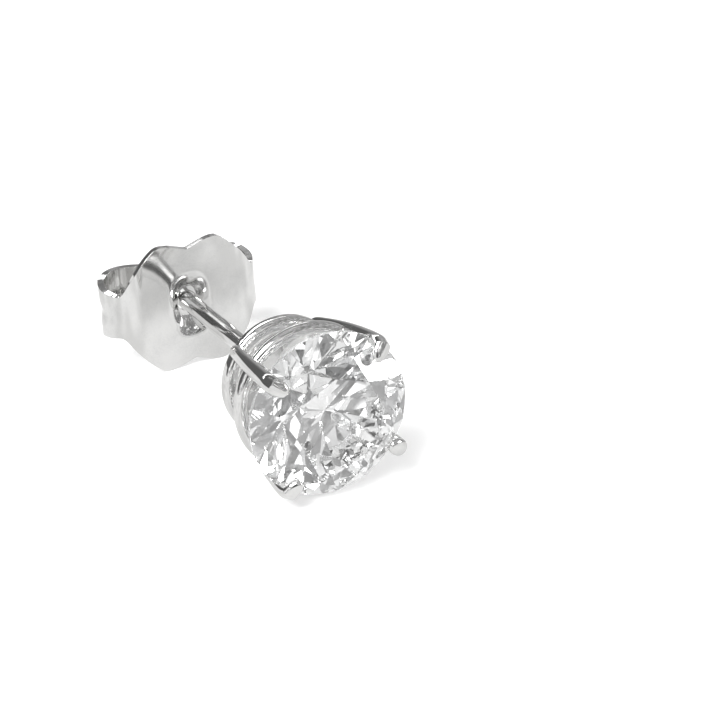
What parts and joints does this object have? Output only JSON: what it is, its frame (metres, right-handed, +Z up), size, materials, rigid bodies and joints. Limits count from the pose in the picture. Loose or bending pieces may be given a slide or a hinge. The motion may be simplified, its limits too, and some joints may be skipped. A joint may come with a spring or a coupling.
{
  "type": "stud earring",
  "caption": "Claw-set stud earring: a round brilliant in a wire basket soldered to a straight post, with a butterfly back that slides along the post and holds the ear lobe.",
  "frame": {"origin": "on the ground, under the middle of the earring as it lies", "axes": "+Z up; the stone's table faces -Y and a little up; the post runs to +Y and a little down; +X is to the right as seen from the stone's front"},
  "size_m": [0.0068, 0.0164, 0.0065],
  "materials": {
    "white_gold": "polished white gold",
    "diamond": "clear, facetted"
  },
  "bodies": {
    "stud": {"stone": "diamond", "basket_and_post": "white_gold"},
    "back": {"butterfly_back": "white_gold"}
  },
  "joints": [
    {"name": "back_slide", "type": "slide", "parent": "stud", "child": "back", "axis": [0, 0.9993, -0.0387], "range_m": [-0.0078, 0.0026]}
  ]
}
